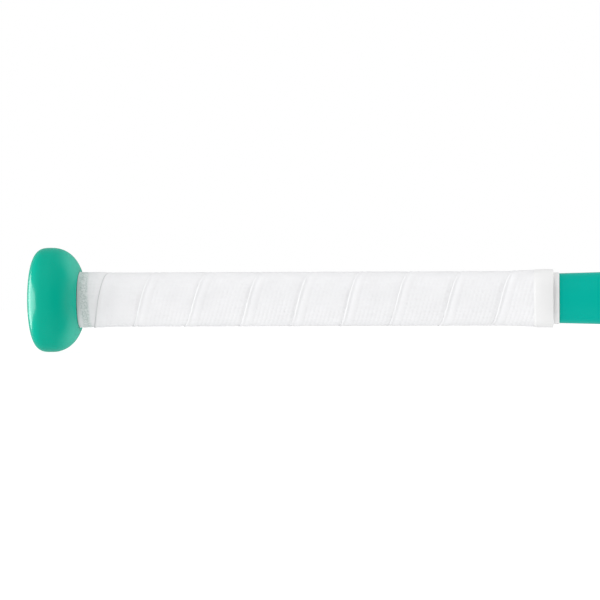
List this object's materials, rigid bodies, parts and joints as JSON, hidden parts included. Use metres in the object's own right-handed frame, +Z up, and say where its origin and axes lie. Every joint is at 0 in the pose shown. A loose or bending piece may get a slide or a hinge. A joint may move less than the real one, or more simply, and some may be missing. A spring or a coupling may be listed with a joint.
{
  "type": "ball bat",
  "caption": "Round two-piece ball bat with a thick rounded knob, spiral-wrapped perforated grip tape and a closed hollow barrel.",
  "frame": {"origin": "centre of the flat face at the knob end", "axes": "+X along the bat from the knob to the end cap, +Z up with the bat lying on its side"},
  "size_m": [0.838, 0.0568, 0.0568],
  "materials": {
    "teal_gloss": "gloss paint over composite",
    "grip_white": "perforated synthetic leather tape, satin",
    "band_white": "smooth vinyl tape",
    "collar_white": "satin elastomer",
    "cap_white": "fine moulded texture",
    "dark_rubber": "matt",
    "plug_foam": "closed-cell foam rubber",
    "bare_composite": "bare carbon composite"
  },
  "bodies": {
    "root": {"knob": "teal_gloss", "knob_cap": "teal_gloss", "handle_plug": "plug_foam", "handle_tube": "teal_gloss", "grip_tape": "grip_white", "finishing_tape": "band_white", "joint_collar": "collar_white", "damping_sleeve": "dark_rubber", "barrel_shell": "teal_gloss", "inner_barrel_sleeve": "bare_composite", "end_cap": "cap_white"}
  },
  "joints": []
}
